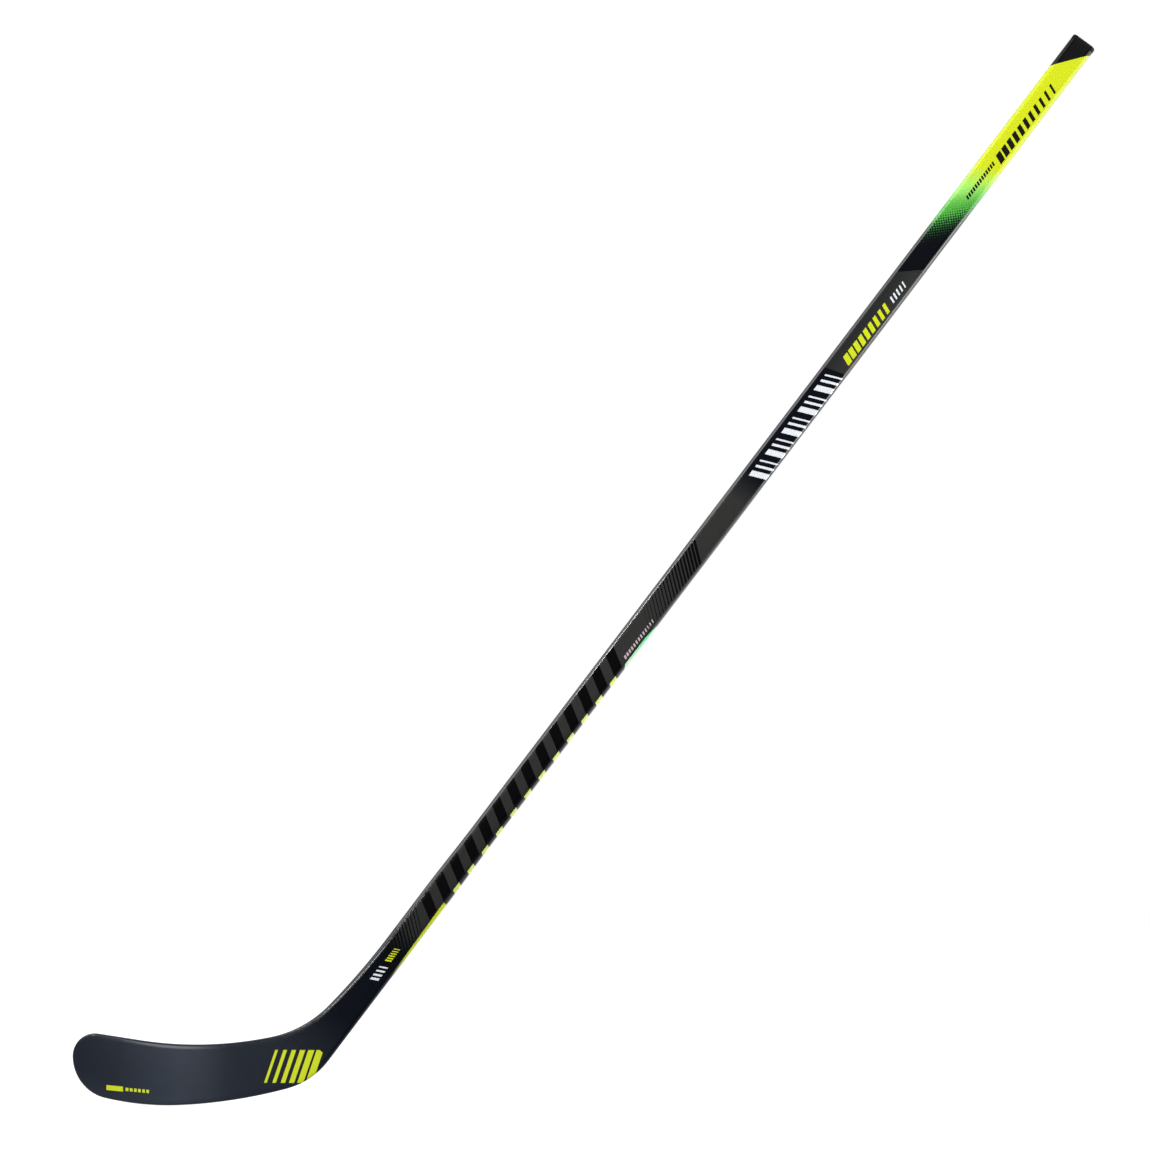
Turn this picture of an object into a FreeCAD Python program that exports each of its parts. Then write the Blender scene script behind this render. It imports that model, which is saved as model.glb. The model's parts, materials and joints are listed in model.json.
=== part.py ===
import FreeCAD, Part
import math
import os
import Sketcher

# Senior ice hockey stick, millimetres. +X towards the butt's side, +Z up, the blade's hollow
# face looks to +Y. The origin is the lowest point of the sole, where the stick touches the ice.
# Lengths along the shaft are counted from the point where the shaft's axis meets the ice.

SIZES = [
    ("lean_angle", 52.8, "shaft above the ice, degrees"),
    ("shaft_end", 1541.0, "top end of the tube, along the shaft"),
    ("shaft_width", 30.0, "wide side of the shaft"),
    ("shaft_depth", 20.0, "narrow side of the shaft"),
    ("shaft_corner", 6.5, "outer corner radius of the shaft"),
    ("tube_wall", 1.8, "laminate of the straight tube"),
    ("taper_top", 480.0, "where the straight tube ends"),
    ("waist_at", 385.0, "where the tube starts to widen"),
    ("waist_depth", 18.0, "narrow side at the waist"),
    ("flare_at", 318.0, "where the tube is at its widest"),
    ("flare_depth", 16.4, "narrow side at the flare"),
    ("joint_at", 248.0, "shoulder of the hosel"),
    ("joint_width", 32.0, "wide side at the joint"),
    ("joint_depth", 15.0, "narrow side at the joint"),
    ("joint_corner", 6.2, "corner radius at the joint"),
    ("ring_height", 0.6, "filler ring at the joint"),
    ("bond_gap", 0.05, "gap left at a bonded face"),
    ("tenon_width", 26.0, "tenon across"),
    ("tenon_depth", 10.0, "tenon through"),
    ("tenon_corner", 3.0, "tenon corner radius"),
    ("tenon_wall", 1.5, "laminate of the tenon"),
    ("tenon_low", 188.0, "lower end of the tenon, in the hosel"),
    ("tenon_reach", 70.0, "tenon above the shoulder"),
    ("glue_film", 0.4, "adhesive round the tenon"),
    ("socket_spare", 12.0, "socket beyond the tenon"),
    ("stop_height", 30.0, "foam stopper in the tube"),
    ("stop_lift", 4.0, "stopper above the straight bore's foot"),
    ("plug_length", 60.0, "plug inside the tube"),
    ("plug_gap", 0.1, "plug's ribs to the bore"),
    ("plug_step", 1.2, "plug's core below its ribs"),
    ("rib_height", 4.0, "one rib of the plug"),
    ("rib_pitch", 11.0, "rib to rib"),
    ("rib_total", 6.0, "number of ribs"),
    ("spigot_width", 16.0, "plug's spigot in the cap"),
    ("spigot_depth", 8.0, "plug's spigot through"),
    ("spigot_corner", 2.0, "spigot corner radius"),
    ("spigot_height", 3.0, "plug's spigot above the tube"),
    ("cap_gap", 0.2, "cap above the end of the tube"),
    ("cap_height", 6.0, "rubber cap"),
    ("cap_round", 2.4, "rounding of the cap's rim"),
    ("toe_reach", 116.2, "toe, from the outline's datum"),
    ("toe_lift", 55.4, "foremost point of the toe"),
    ("toe_top_radius", 27.1, "upper toe corner"),
    ("top_slope", 8.2, "top edge falls towards the heel, degrees"),
    ("top_flat", 50.5, "straight run of the top edge"),
    ("sweep_radius", 445.0, "long sweep of the top edge"),
    ("sweep_angle", 19.8, "its turn, degrees"),
    ("throat_radius", 133.0, "bend from blade to hosel"),
    ("throat_angle", 34.0, "its turn, degrees"),
    ("hosel_radius", 830.0, "last sweep into the hosel's straight side"),
    ("toe_low_radius", 49.0, "lower toe corner"),
    ("toe_low_angle", 78.0, "its turn, degrees"),
    ("rocker_radius", 347.0, "front of the sole"),
    ("rocker_angle", 14.7, "its turn, degrees"),
    ("sole_radius", 592.0, "rear of the sole"),
    ("sole_angle", 12.4, "its turn, degrees"),
    ("curve_start", 75.0, "where the blade starts to curve"),
    ("curve_travel", 14.0, "toe out of the shaft's plane"),
    ("face_twist", 5.0, "open face at the toe, degrees"),
    ("heel_depth", 7.0, "blade thickness at the heel"),
    ("toe_depth", 5.2, "blade thickness at the toe"),
    ("blend_low", 30.0, "where the blade starts to thicken to the hosel"),
    ("blend_top", 242.0, "where the hosel has its full thickness"),
    ("edge_round", 2.2, "edge radius of the blade"),
    ("skin_wall", 1.1, "face laminate of the blade"),
    ("hosel_wall", 2.2, "face laminate of the hosel"),
    ("edge_wall", 3.0, "laminate along the edges"),
    ("band_wall", 1.4, "fibre band inside the edges"),
    ("rib_level", 43.0, "bridge rib above the ice"),
    ("rib_wall", 4.0, "bridge rib"),
    ("toe_insert_reach", 26.0, "toe insert behind the toe"),
    ("heel_insert_at", 118.0, "front of the heel insert"),
    ("heel_insert_top", 78.0, "top of the heel insert, along the shaft"),
]

doc = FreeCAD.newDocument("IceHockeyStick")
sheet = doc.addObject("Spreadsheet::Sheet", "Dims")
for row, (alias, value, meaning) in enumerate(SIZES, start=1):
    sheet.set("A%d" % row, meaning)
    sheet.set("B%d" % row, str(value))
    sheet.setAlias("B%d" % row, alias)
doc.recompute()
D = {alias: float(sheet.get(alias)) for alias, value, meaning in SIZES}

V = FreeCAD.Vector
LEAN = math.radians(D["lean_angle"])
ALONG = (math.cos(LEAN), math.sin(LEAN))
ACROSS = (-math.sin(LEAN), math.cos(LEAN))
pieces = {}


# ---------------------------------------------------------------- blade outline (x, z)

def walk(start, heading, legs):
    """Follow straight runs and arcs. Each leg is (radius or None, turn or length)."""
    point = start
    edges = []
    for radius, amount in legs:
        if radius is None:
            end = (point[0] + amount * math.cos(heading), point[1] + amount * math.sin(heading))
            edges.append(("line", point, end, None))
        else:
            side = math.copysign(1.0, amount)
            centre = (point[0] - side * radius * math.sin(heading),
                      point[1] + side * radius * math.cos(heading))
            begin = heading - side * math.pi / 2
            spots = []
            for share in (0.5, 1.0):
                angle = begin + share * amount
                spots.append((centre[0] + radius * math.cos(angle),
                              centre[1] + radius * math.sin(angle)))
            end = spots[1]
            edges.append(("arc", point, end, spots[0]))
            heading += amount
        point = end
    return edges, point, heading


def offset_from_axis(point, foot):
    return (point[0] - foot) * ACROSS[0] + point[1] * ACROSS[1]


def along_axis(point, foot):
    return (point[0] - foot) * ALONG[0] + point[1] * ALONG[1]


def blade_edges():
    """Top edge and sole from the toe to the shoulder, and where the shaft's axis meets z = 0."""
    toe = (-D["toe_reach"], D["toe_lift"])
    half = D["joint_width"] / 2
    slope = math.radians(D["top_slope"])
    sweep = math.radians(D["sweep_angle"])
    throat = math.radians(D["throat_angle"])
    top, point, heading = walk(toe, math.pi / 2, [
        (D["toe_top_radius"], -math.pi / 2 - slope),
        (None, D["top_flat"]),
        (D["sweep_radius"], sweep),
        (D["throat_radius"], throat),
        (D["hosel_radius"], LEAN + slope - sweep - throat),
    ])
    foot = (offset_from_axis(point, 0.0) - half) / ACROSS[0]
    straight = D["joint_at"] - along_axis(point, foot)
    assert straight > 0, "the hosel's sweep ends above its shoulder"
    more, shoulder_in, heading = walk(point, LEAN, [(None, straight)])
    top += more

    low, point, heading = walk(toe, -math.pi / 2, [
        (D["toe_low_radius"], math.radians(D["toe_low_angle"])),
        (D["rocker_radius"], math.radians(D["rocker_angle"])),
        (D["sole_radius"], math.radians(D["sole_angle"])),
    ])
    rest = LEAN - heading
    heel_radius = (offset_from_axis(point, foot) + half) / (1 - math.cos(rest))
    more, point, heading = walk(point, heading, [(heel_radius, rest)])
    low += more
    more, shoulder_out, heading = walk(point, LEAN, [(None, D["joint_at"] - along_axis(point, foot))])
    low += more
    return top, low, shoulder_in, shoulder_out, foot


def as_edge(leg, shift):
    kind, begin, end, middle = leg
    first = V(begin[0] + shift[0], 0, begin[1] + shift[1])
    last = V(end[0] + shift[0], 0, end[1] + shift[1])
    if kind == "line":
        return Part.makeLine(first, last)
    return Part.Arc(first, V(middle[0] + shift[0], 0, middle[1] + shift[1]), last).toShape()


top_legs, low_legs, shoulder_in, shoulder_out, foot = blade_edges()
raw = Part.Wire([as_edge(leg, (0, 0)) for leg in low_legs])
lowest = min((point for point in raw.discretize(4000)), key=lambda point: point.z)
SHIFT = (-lowest.x, -lowest.z)
FOOT = foot + SHIFT[0]
LIFT = SHIFT[1]
TOE = -D["toe_reach"] + SHIFT[0]
closing = ("line", shoulder_in, shoulder_out, None)
outline_edges = [as_edge(leg, SHIFT) for leg in low_legs + [closing] + top_legs]
OUTLINE = Part.Wire(Part.__sortEdges__(outline_edges))
SHAFT_FRAME = FreeCAD.Placement(V(FOOT, 0, LIFT), FreeCAD.Rotation(V(0, 1, 0), 90 - D["lean_angle"]))


# ---------------------------------------------------------------- shaft line, PartDesign bodies

def plane_of(body, role):
    return [item for item in body.Origin.OriginFeatures if item.Role == role][0]


def new_body(name):
    body = doc.addObject("PartDesign::Body", name)
    body.Label = name
    body.Placement = SHAFT_FRAME
    pieces[name] = body
    return body


def section(body, name, level, width, depth, corner):
    """Rounded rectangle across the shaft at a level; every size is an expression."""
    sketch = body.newObject("Sketcher::SketchObject", name)
    sketch.AttachmentSupport = [(plane_of(body, "XY_Plane"), "")]
    sketch.MapMode = "FlatFace"
    sketch.setExpression("AttachmentOffset.Base.z", level)
    probe = {"w": width, "d": depth, "c": corner}
    sheet_row = len(SIZES) + 2
    for key in probe:
        sheet.set("D%d" % sheet_row, "=" + probe[key].replace("Dims.", ""))
        doc.recompute([sheet])
        probe[key] = float(sheet.get("D%d" % sheet_row))
    sheet.set("D%d" % sheet_row, "")
    w = probe["w"] / 2
    d = probe["d"] / 2
    c = probe["c"]
    corners = [(w - c, d - c, 0), (-w + c, d - c, 90), (-w + c, -d + c, 180), (w - c, -d + c, 270)]
    for x, y, start in corners:
        circle = Part.Circle(V(x, y, 0), V(0, 0, 1), c)
        sketch.addGeometry(Part.ArcOfCircle(circle, math.radians(start), math.radians(start + 90)))
    sides = [(w - c, d, -w + c, d), (-w, d - c, -w, -d + c), (-w + c, -d, w - c, -d), (w, -d + c, w, d - c)]
    for x0, y0, x1, y1 in sides:
        sketch.addGeometry(Part.LineSegment(V(x0, y0, 0), V(x1, y1, 0)))
    for index in range(4):
        sketch.addConstraint(Sketcher.Constraint("Tangent", index, 2, 4 + index, 1))
        sketch.addConstraint(Sketcher.Constraint("Tangent", 4 + index, 2, (index + 1) % 4, 1))
    sketch.addConstraint(Sketcher.Constraint("Horizontal", 4))
    sketch.addConstraint(Sketcher.Constraint("Vertical", 5))
    for index in range(1, 4):
        sketch.addConstraint(Sketcher.Constraint("Equal", 0, index))
    sketch.addConstraint(Sketcher.Constraint("Symmetric", 0, 3, 2, 3, -1, 1))
    radius = sketch.addConstraint(Sketcher.Constraint("Radius", 0, c))
    across = sketch.addConstraint(Sketcher.Constraint("DistanceX", 1, 3, 0, 3, 2 * w - 2 * c))
    through = sketch.addConstraint(Sketcher.Constraint("DistanceY", 3, 3, 0, 3, 2 * d - 2 * c))
    sketch.setExpression("Constraints[%d]" % radius, corner)
    sketch.setExpression("Constraints[%d]" % across, "%s - 2 * (%s)" % (width, corner))
    sketch.setExpression("Constraints[%d]" % through, "%s - 2 * (%s)" % (depth, corner))
    sketch.Visibility = False
    doc.recompute()
    return sketch


def prism(body, kind, name, sketch, length, upwards=True):
    """Pad or pocket of a section; a pocket runs down the shaft unless told otherwise."""
    feature = body.newObject("PartDesign::" + kind, name)
    feature.Profile = sketch
    feature.setExpression("Length", length)
    if kind == "Pocket":
        feature.Reversed = upwards
    doc.recompute()
    return feature


def loft(body, kind, name, sections):
    feature = body.newObject("PartDesign::" + kind, name)
    feature.Profile = sections[0]
    feature.Sections = sections[1:]
    doc.recompute()
    return feature


def cut_check(body, before, what):
    assert body.Shape.Volume < before - 1.0, what


TUBE_FOOT = "Dims.joint_at + Dims.ring_height + 2 * Dims.bond_gap"
BORE = ("Dims.shaft_width - 2 * Dims.tube_wall", "Dims.shaft_depth - 2 * Dims.tube_wall",
        "Dims.shaft_corner - Dims.tube_wall")
FILM = "(Dims.glue_film + 2 * Dims.bond_gap)"
SOCKET = ("Dims.tenon_width + 2 * " + FILM, "Dims.tenon_depth + 2 * " + FILM,
          "Dims.tenon_corner + " + FILM)
SOCKET_TOP = "Dims.joint_at + Dims.tenon_reach + Dims.socket_spare"

tube = new_body("shaft_tube")
straight = section(tube, "tube_outer", "Dims.taper_top",
                   "Dims.shaft_width", "Dims.shaft_depth", "Dims.shaft_corner")
prism(tube, "Pad", "tube_straight", straight, "Dims.shaft_end - Dims.taper_top")
outer = [
    section(tube, "taper_top_outer", "Dims.taper_top",
            "Dims.shaft_width", "Dims.shaft_depth", "Dims.shaft_corner"),
    section(tube, "waist_outer", "Dims.waist_at",
            "Dims.shaft_width", "Dims.waist_depth", "Dims.shaft_corner"),
    section(tube, "flare_outer", "Dims.flare_at",
            "Dims.joint_width", "Dims.flare_depth", "Dims.joint_corner"),
    section(tube, "joint_outer", TUBE_FOOT,
            "Dims.joint_width", "Dims.joint_depth", "Dims.joint_corner"),
]
loft(tube, "AdditiveLoft", "tube_taper", outer)
volume = tube.Shape.Volume
bore = section(tube, "tube_bore", "Dims.shaft_end", BORE[0], BORE[1], BORE[2])
prism(tube, "Pocket", "bore_straight", bore, "Dims.shaft_end - Dims.taper_top", upwards=False)
cut_check(tube, volume, "straight bore")
volume = tube.Shape.Volume
inner = [
    section(tube, "taper_top_bore", "Dims.taper_top", BORE[0], BORE[1], BORE[2]),
    section(tube, "socket_end", SOCKET_TOP, SOCKET[0], SOCKET[1], SOCKET[2]),
]
loft(tube, "SubtractiveLoft", "bore_taper", inner)
cut_check(tube, volume, "tapered bore")
volume = tube.Shape.Volume
mouth = section(tube, "socket_mouth", TUBE_FOOT, SOCKET[0], SOCKET[1], SOCKET[2])
prism(tube, "Pocket", "tenon_socket", mouth, SOCKET_TOP + " - (" + TUBE_FOOT + ")", upwards=True)
cut_check(tube, volume, "tenon socket")

ring = new_body("joint_filler_ring")
ring_foot = "Dims.joint_at + Dims.bond_gap"
ring_outer = section(ring, "ring_outer", ring_foot,
                     "Dims.joint_width", "Dims.joint_depth", "Dims.joint_corner")
prism(ring, "Pad", "ring_body", ring_outer, "Dims.ring_height")
volume = ring.Shape.Volume
ring_hole = section(ring, "ring_hole", ring_foot, "Dims.tenon_width + 2 * Dims.bond_gap",
                    "Dims.tenon_depth + 2 * Dims.bond_gap", "Dims.tenon_corner + Dims.bond_gap")
prism(ring, "Pocket", "ring_opening", ring_hole, "Dims.ring_height", upwards=True)
cut_check(ring, volume, "ring opening")

tenon = new_body("hosel_tenon")
tenon_length = "Dims.joint_at + Dims.tenon_reach - Dims.tenon_low"
tenon_outer = section(tenon, "tenon_outer", "Dims.tenon_low",
                      "Dims.tenon_width", "Dims.tenon_depth", "Dims.tenon_corner")
prism(tenon, "Pad", "tenon_body", tenon_outer, tenon_length)
volume = tenon.Shape.Volume
tenon_hole = section(tenon, "tenon_hole", "Dims.tenon_low",
                     "Dims.tenon_width - 2 * Dims.tenon_wall", "Dims.tenon_depth - 2 * Dims.tenon_wall",
                     "Dims.tenon_corner - Dims.tenon_wall")
prism(tenon, "Pocket", "tenon_bore", tenon_hole, tenon_length, upwards=True)
cut_check(tenon, volume, "tenon bore")

tenon_core = new_body("tenon_foam_core")
core_section = section(tenon_core, "tenon_core_outer", "Dims.tenon_low",
                       "Dims.tenon_width - 2 * (Dims.tenon_wall + Dims.bond_gap)",
                       "Dims.tenon_depth - 2 * (Dims.tenon_wall + Dims.bond_gap)",
                       "Dims.tenon_corner - Dims.tenon_wall - Dims.bond_gap")
prism(tenon_core, "Pad", "tenon_core_body", core_section, tenon_length)

sleeve = new_body("joint_epoxy_sleeve")
sleeve_foot = TUBE_FOOT + " + Dims.bond_gap"
sleeve_length = "Dims.joint_at + Dims.tenon_reach - (" + sleeve_foot + ")"
sleeve_outer = section(sleeve, "sleeve_outer", sleeve_foot,
                       "Dims.tenon_width + 2 * (Dims.glue_film + Dims.bond_gap)",
                       "Dims.tenon_depth + 2 * (Dims.glue_film + Dims.bond_gap)",
                       "Dims.tenon_corner + Dims.glue_film + Dims.bond_gap")
prism(sleeve, "Pad", "sleeve_body", sleeve_outer, sleeve_length)
volume = sleeve.Shape.Volume
sleeve_hole = section(sleeve, "sleeve_hole", sleeve_foot, "Dims.tenon_width + 2 * Dims.bond_gap",
                      "Dims.tenon_depth + 2 * Dims.bond_gap", "Dims.tenon_corner + Dims.bond_gap")
prism(sleeve, "Pocket", "sleeve_opening", sleeve_hole, sleeve_length, upwards=True)
cut_check(sleeve, volume, "sleeve opening")

stopper = new_body("shaft_foam_stop")
SNUG = ("%s - 2 * Dims.bond_gap" % BORE[0], "%s - 2 * Dims.bond_gap" % BORE[1],
        "%s - Dims.bond_gap" % BORE[2])
stop_section = section(stopper, "stop_outer", "Dims.taper_top + Dims.stop_lift",
                       SNUG[0], SNUG[1], SNUG[2])
prism(stopper, "Pad", "stop_body", stop_section, "Dims.stop_height")

plug = new_body("butt_plug")
RIB = ("%s - 2 * Dims.plug_gap" % BORE[0], "%s - 2 * Dims.plug_gap" % BORE[1],
       "%s - Dims.plug_gap" % BORE[2])
plug_foot = "Dims.shaft_end - Dims.plug_length"
plug_section = section(plug, "plug_core", plug_foot, RIB[0] + " - 2 * Dims.plug_step",
                       RIB[1] + " - 2 * Dims.plug_step", RIB[2] + " - Dims.plug_step")
prism(plug, "Pad", "plug_stem", plug_section, "Dims.plug_length")
rib_section = section(plug, "plug_rib", plug_foot, RIB[0], RIB[1], RIB[2])
rib = prism(plug, "Pad", "plug_first_rib", rib_section, "Dims.rib_height")
rows = plug.newObject("PartDesign::LinearPattern", "plug_ribs")
rows.Originals = [rib]
rows.Direction = (rib_section, ["N_Axis"])
rows.setExpression("Length", "(Dims.rib_total - 1) * Dims.rib_pitch")
rows.setExpression("Occurrences", "Dims.rib_total")
plug.Tip = rows
doc.recompute()
spigot_section = section(plug, "plug_spigot", "Dims.shaft_end",
                         "Dims.spigot_width", "Dims.spigot_depth", "Dims.spigot_corner")
prism(plug, "Pad", "plug_spigot_body", spigot_section, "Dims.spigot_height")

cap = new_body("butt_cap")
cap_foot = "Dims.shaft_end + Dims.cap_gap"
cap_section = section(cap, "cap_outer", cap_foot,
                      "Dims.shaft_width", "Dims.shaft_depth", "Dims.shaft_corner")
cap_pad = prism(cap, "Pad", "cap_body", cap_section, "Dims.cap_height")
volume = cap.Shape.Volume
cap_hole = section(cap, "cap_socket", cap_foot, "Dims.spigot_width + 2 * Dims.bond_gap",
                   "Dims.spigot_depth + 2 * Dims.bond_gap", "Dims.spigot_corner + Dims.bond_gap")
prism(cap, "Pocket", "cap_spigot_socket", cap_hole,
      "Dims.spigot_height - Dims.cap_gap + Dims.bond_gap", upwards=True)
cut_check(cap, volume, "spigot socket")
crown = D["shaft_end"] + D["cap_gap"] + D["cap_height"]
rim = []
for number, edge in enumerate(cap.Shape.Edges, start=1):
    local = cap.Placement.inverse().multVec(edge.CenterOfMass)
    if abs(local.z - crown) < 0.01:
        rim.append("Edge%d" % number)
below_rim = cap.Tip
rounding = cap.newObject("PartDesign::Fillet", "cap_rim")
rounding.Base = (below_rim, rim)
rounding.setExpression("Radius", "Dims.cap_round")
doc.recompute()


# ---------------------------------------------------------------- blade, free-form pieces

def smooth(share):
    share = max(0.0, min(1.0, share))
    return share * share * (3 - 2 * share)


def hosel_share(x, z):
    """0 in the blade, 1 where the hosel has the joint's full thickness."""
    level = (x - FOOT) * ALONG[0] + (z - LIFT) * ALONG[1]
    return smooth((level - D["blend_low"]) / (D["blend_top"] - D["blend_low"]))


def toe_share(x):
    return max(0.0, (D["curve_start"] - x) / (D["curve_start"] - TOE))


def middle(x, z):
    """Middle surface: the toe curves to +Y and its face opens upwards."""
    share = toe_share(x)
    lean_back = math.tan(math.radians(D["face_twist"])) * share * (z - D["rib_level"])
    return D["curve_travel"] * share ** 2 - lean_back * share


def thickness(x, z):
    share = min(1.0, toe_share(x))
    blade = D["heel_depth"] + (D["toe_depth"] - D["heel_depth"]) * share
    return blade + (D["joint_depth"] - blade) * hosel_share(x, z)


def face_wall(x, z):
    return D["skin_wall"] + (D["hosel_wall"] - D["skin_wall"]) * hosel_share(x, z)


BOUND = OUTLINE.BoundBox
STEP = 15.0
MARGIN = 12.0
COLUMNS = [BOUND.XMin - MARGIN + STEP * i for i in range(int((BOUND.XLength + 2 * MARGIN) / STEP) + 2)]
ROWS = [BOUND.ZMin - MARGIN + STEP * i for i in range(int((BOUND.ZLength + 2 * MARGIN) / STEP) + 2)]
DEEP = 80.0


def half_space(height, towards):
    """Everything on one side of the surface y = height(x, z)."""
    grid = [[V(x, height(x, z), z) for z in ROWS] for x in COLUMNS]
    surface = Part.BSplineSurface()
    surface.interpolate(grid)
    return surface.toShape().extrude(V(0, towards * DEEP, 0))


def slab(inset):
    """Space between the two faces, drawn in by inset(x, z) from each."""
    front = half_space(lambda x, z: middle(x, z) - thickness(x, z) / 2 + inset(x, z), 1)
    back = half_space(lambda x, z: middle(x, z) + thickness(x, z) / 2 - inset(x, z), -1)
    return front.common(back)


def plate(inset):
    """Blade's outline, drawn in by a distance, as a thick plate across the mid plane."""
    wire = OUTLINE if inset == 0 else OUTLINE.makeOffset2D(-inset)
    face = Part.Face(wire)
    face.translate(V(0, -DEEP / 2, 0))
    return face.extrude(V(0, DEEP, 0))


def below(level):
    """Everything nearer the ice than a level along the shaft."""
    size = 2 * D["shaft_end"]
    block = Part.makeBox(size, size, size, V(-size / 2, -size / 2, level - size))
    block.Placement = SHAFT_FRAME
    return block


def bar(width, depth, corner, low, high):
    """Rounded rectangular bar along the shaft between two levels."""
    block = Part.makeBox(width, depth, high - low, V(-width / 2, -depth / 2, low))
    upright = [edge for edge in block.Edges if abs(edge.Length - (high - low)) < 1e-6]
    block = block.makeFillet(corner, upright)
    block.Placement = SHAFT_FRAME
    return block


def field(x_from, x_to, z_from, z_to):
    """Upright block across the mid plane, to divide the inside of the blade."""
    return Part.makeBox(x_to - x_from, DEEP, z_to - z_from, V(x_from, -DEEP / 2, z_from))


def free_piece(name, shape):
    assert len(shape.Solids) == 1, "%s has %d solids" % (name, len(shape.Solids))
    item = doc.addObject("Part::Feature", name)
    item.Label = name
    item.Shape = shape.Solids[0]
    item.Placement = FreeCAD.Placement()
    pieces[name] = item


def edge_radius(spot):
    return D["edge_round"] + (D["joint_corner"] - D["edge_round"]) * hosel_share(spot.x, spot.z)


def half_blade(name, side):
    """The blade and hosel on one side of the moulds' parting surface, its outer edges rounded."""
    face = half_space(lambda x, z: middle(x, z) + side * thickness(x, z) / 2, -side)
    parting = half_space(lambda x, z: middle(x, z) + side * GAP / 2, side)
    blank = doc.addObject("Part::Feature", name + "_blank")
    blank.Shape = plate(0).common(face).common(parting).Solids[0]
    rows = []
    for number, edge in enumerate(blank.Shape.Edges, start=1):
        first, last = [vertex.Point for vertex in edge.Vertexes]
        outside = [side * (spot.y - middle(spot.x, spot.z)) > 1.0 for spot in (first, last)]
        levels = [along_axis((spot.x, spot.z - LIFT), FOOT) for spot in (first, last)]
        if all(outside) and min(levels) < D["joint_at"] - GAP:
            rows.append((number, edge_radius(last), edge_radius(first)))
    rounded = doc.addObject("Part::Fillet", name + "_rounded")
    rounded.Base = blank
    rounded.Edges = rows
    doc.recompute()
    shape = rounded.Shape
    assert shape.isValid() and shape.Volume > 0.9 * blank.Shape.Volume, name
    return shape


GAP = D["bond_gap"]
inner_top = D["tenon_low"] - GAP
cavity = plate(D["edge_wall"]).common(slab(face_wall)).common(below(inner_top))
socket = bar(D["tenon_width"] + 2 * GAP, D["tenon_depth"] + 2 * GAP, D["tenon_corner"] + GAP,
             inner_top, D["joint_at"] + 1)
for name, side in (("blade_skin_backhand", -1), ("blade_skin_forehand", 1)):
    half = half_blade(name, side)
    skin = half.cut(cavity).cut(socket)
    assert skin.Volume < half.Volume - 1.0, "%s isn't hollow" % name
    free_piece(name, skin)

filling = slab(lambda x, z: face_wall(x, z) + GAP).common(below(inner_top - GAP))
band_edge = D["edge_wall"] + GAP
core_edge = band_edge + D["band_wall"]
free_piece("blade_edge_band", plate(band_edge).common(filling).cut(plate(core_edge)))

core = plate(core_edge + GAP).common(filling)
toe_split = TOE + D["toe_insert_reach"]
heel_split = D["heel_insert_at"]
rib_low = D["rib_level"] - D["rib_wall"] / 2
rib_high = D["rib_level"] + D["rib_wall"] / 2
far = 4 * DEEP
free_piece("toe_insert", core.common(field(TOE - DEEP, toe_split, -DEEP, far)))
free_piece("blade_bridge_rib", core.common(field(toe_split + GAP, heel_split, rib_low, rib_high)))
free_piece("blade_core_upper", core.common(field(toe_split + GAP, heel_split, rib_high + GAP, far)))
free_piece("blade_core_lower", core.common(field(toe_split + GAP, heel_split, -DEEP, rib_low - GAP)))
heel_side = field(heel_split + GAP, far, -DEEP, far)
free_piece("heel_insert", core.common(heel_side).common(below(D["heel_insert_top"])))
free_piece("hosel_foam_core", core.cut(below(D["heel_insert_top"] + GAP)))


# ---------------------------------------------------------------- checks and files

doc.recompute()
for item in doc.Objects:
    assert "Invalid" not in item.State and "Error" not in item.State, item.Label
os.makedirs("parts", exist_ok=True)
for name, item in pieces.items():
    shape = item.Shape
    assert not shape.isNull() and shape.isValid() and len(shape.Solids) == 1, name
    shape.exportStep("parts/%s.step" % name)
    print("%-22s %10.1f mm3" % (name, shape.Volume))
print("shaft's axis starts at x = %.4f mm, z = %.4f mm" % (FOOT, LIFT))
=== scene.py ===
import json
import math

import bmesh
import bpy
from mathutils import Euler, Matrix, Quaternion, Vector


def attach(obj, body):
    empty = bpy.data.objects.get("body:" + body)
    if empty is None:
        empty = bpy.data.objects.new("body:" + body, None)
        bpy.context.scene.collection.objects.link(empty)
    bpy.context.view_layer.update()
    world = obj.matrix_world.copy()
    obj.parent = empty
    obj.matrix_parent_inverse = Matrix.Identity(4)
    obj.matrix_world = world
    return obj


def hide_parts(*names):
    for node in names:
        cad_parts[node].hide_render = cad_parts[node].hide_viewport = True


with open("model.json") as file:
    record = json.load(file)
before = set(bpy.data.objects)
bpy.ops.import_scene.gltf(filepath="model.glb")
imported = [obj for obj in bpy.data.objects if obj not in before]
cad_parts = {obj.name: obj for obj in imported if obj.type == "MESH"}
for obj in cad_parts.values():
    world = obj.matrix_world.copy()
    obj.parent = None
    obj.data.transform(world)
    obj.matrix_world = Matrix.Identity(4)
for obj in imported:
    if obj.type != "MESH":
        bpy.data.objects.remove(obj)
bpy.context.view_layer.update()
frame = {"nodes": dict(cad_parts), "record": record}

# ---------------------------------------------------------------- the stick's own sizes, mm
# u runs up the shaft from the ice, w across its wide face towards the outer edge.

LEAN = math.radians(52.8)
FOOT = Vector((130.8419, 0.0, 0.1120))
UP = Vector((math.cos(LEAN), 0.0, math.sin(LEAN)))
OUT = Vector((math.sin(LEAN), 0.0, -math.cos(LEAN)))
THROUGH = Vector((0.0, 1.0, 0.0))

JOINT, TAPER_TOP, SHAFT_END = 248.0, 480.0, 1541.0
SECTIONS = [  # u, half width, half depth, corner
    (JOINT, 16.0, 7.5, 6.2),
    (318.0, 16.0, 8.2, 6.2),
    (385.0, 15.0, 9.0, 6.5),
    (TAPER_TOP, 15.0, 10.0, 6.5),
]
BORE = (13.2, 8.2, 4.7)  # half width, half depth, corner
BORE_MIDDLE, BORE_FOOT = SHAFT_END - 90, 484.0

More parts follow.
